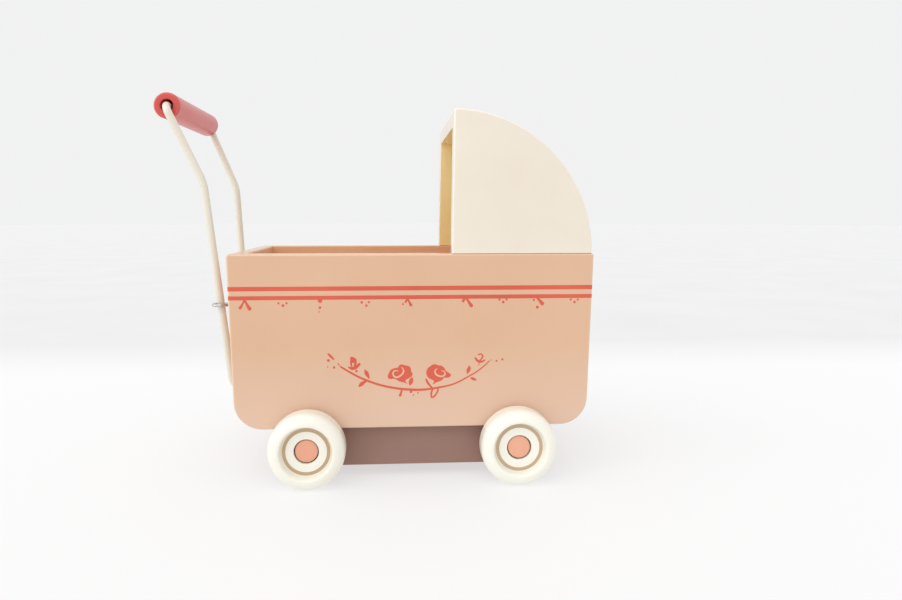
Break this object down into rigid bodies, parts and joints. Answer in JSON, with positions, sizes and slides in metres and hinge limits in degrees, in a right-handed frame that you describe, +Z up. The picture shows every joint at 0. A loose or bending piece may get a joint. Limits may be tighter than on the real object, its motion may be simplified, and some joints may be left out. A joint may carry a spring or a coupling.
{
  "type": "doll stroller",
  "caption": "Painted wooden doll pram: open box tub with rounded lower corners, quarter-round hood, turned wheels on axle pegs and a bent wire handle with a loose turning grip.",
  "frame": {"origin": "on the floor, below the centre of the whole pram's box, handle included", "axes": "+X towards the hood end, away from the handle; +Y to the left of the pram; +Z up"},
  "size_m": [0.188, 0.1108, 0.1664],
  "materials": {
    "peach_paint": "satin paint over wood fibre board",
    "cream_paint": "satin paint over wood fibre board",
    "bare_beech": "bare",
    "ivory_paint": "satin paint, with one tan line round the face",
    "salmon_paint": "satin paint",
    "red_paint": "satin paint",
    "wire_paint": "satin",
    "bright_steel": "bright plated"
  },
  "bodies": {
    "pram": {"side_board_right": "peach_paint", "side_board_left": "peach_paint", "end_board_handle": "peach_paint", "end_board_hood": "peach_paint", "floor_board": "peach_paint", "body_dowels": "bare_beech", "chassis_block": "peach_paint", "chassis_screws": "bright_steel", "hood_cheek_right": "cream_paint", "hood_cheek_left": "cream_paint", "hood_roof": "cream_paint", "hood_dowels": "bare_beech", "handle_rod": "wire_paint", "screw_eye_right": "bright_steel", "screw_eye_left": "bright_steel", "axle_peg_front_right": "salmon_paint", "axle_peg_front_left": "salmon_paint", "axle_peg_rear_right": "salmon_paint", "axle_peg_rear_left": "salmon_paint"},
    "grip": {"handle_grip": "red_paint"},
    "wheel_front_right": {"wheel_front_right": "ivory_paint"},
    "wheel_front_left": {"wheel_front_left": "ivory_paint"},
    "wheel_rear_right": {"wheel_rear_right": "ivory_paint"},
    "wheel_rear_left": {"wheel_rear_left": "ivory_paint"}
  },
  "joints": [
    {"name": "grip_spin", "type": "hinge", "parent": "pram", "child": "grip", "pos_m": [-0.08835, 0, 0.1608], "axis": [0, 1, 0], "continuous": true},
    {"name": "wheel_front_right_spin", "type": "hinge", "parent": "pram", "child": "wheel_front_right", "pos_m": [0.06025, -0.0473, 0.0162], "axis": [0, 1, 0], "continuous": true},
    {"name": "wheel_front_left_spin", "type": "hinge", "parent": "pram", "child": "wheel_front_left", "pos_m": [0.06025, 0.0473, 0.0162], "axis": [0, 1, 0], "continuous": true},
    {"name": "wheel_rear_right_spin", "type": "hinge", "parent": "pram", "child": "wheel_rear_right", "pos_m": [-0.02915, -0.0473, 0.0162], "axis": [0, 1, 0], "continuous": true},
    {"name": "wheel_rear_left_spin", "type": "hinge", "parent": "pram", "child": "wheel_rear_left", "pos_m": [-0.02915, 0.0473, 0.0162], "axis": [0, 1, 0], "continuous": true}
  ]
}
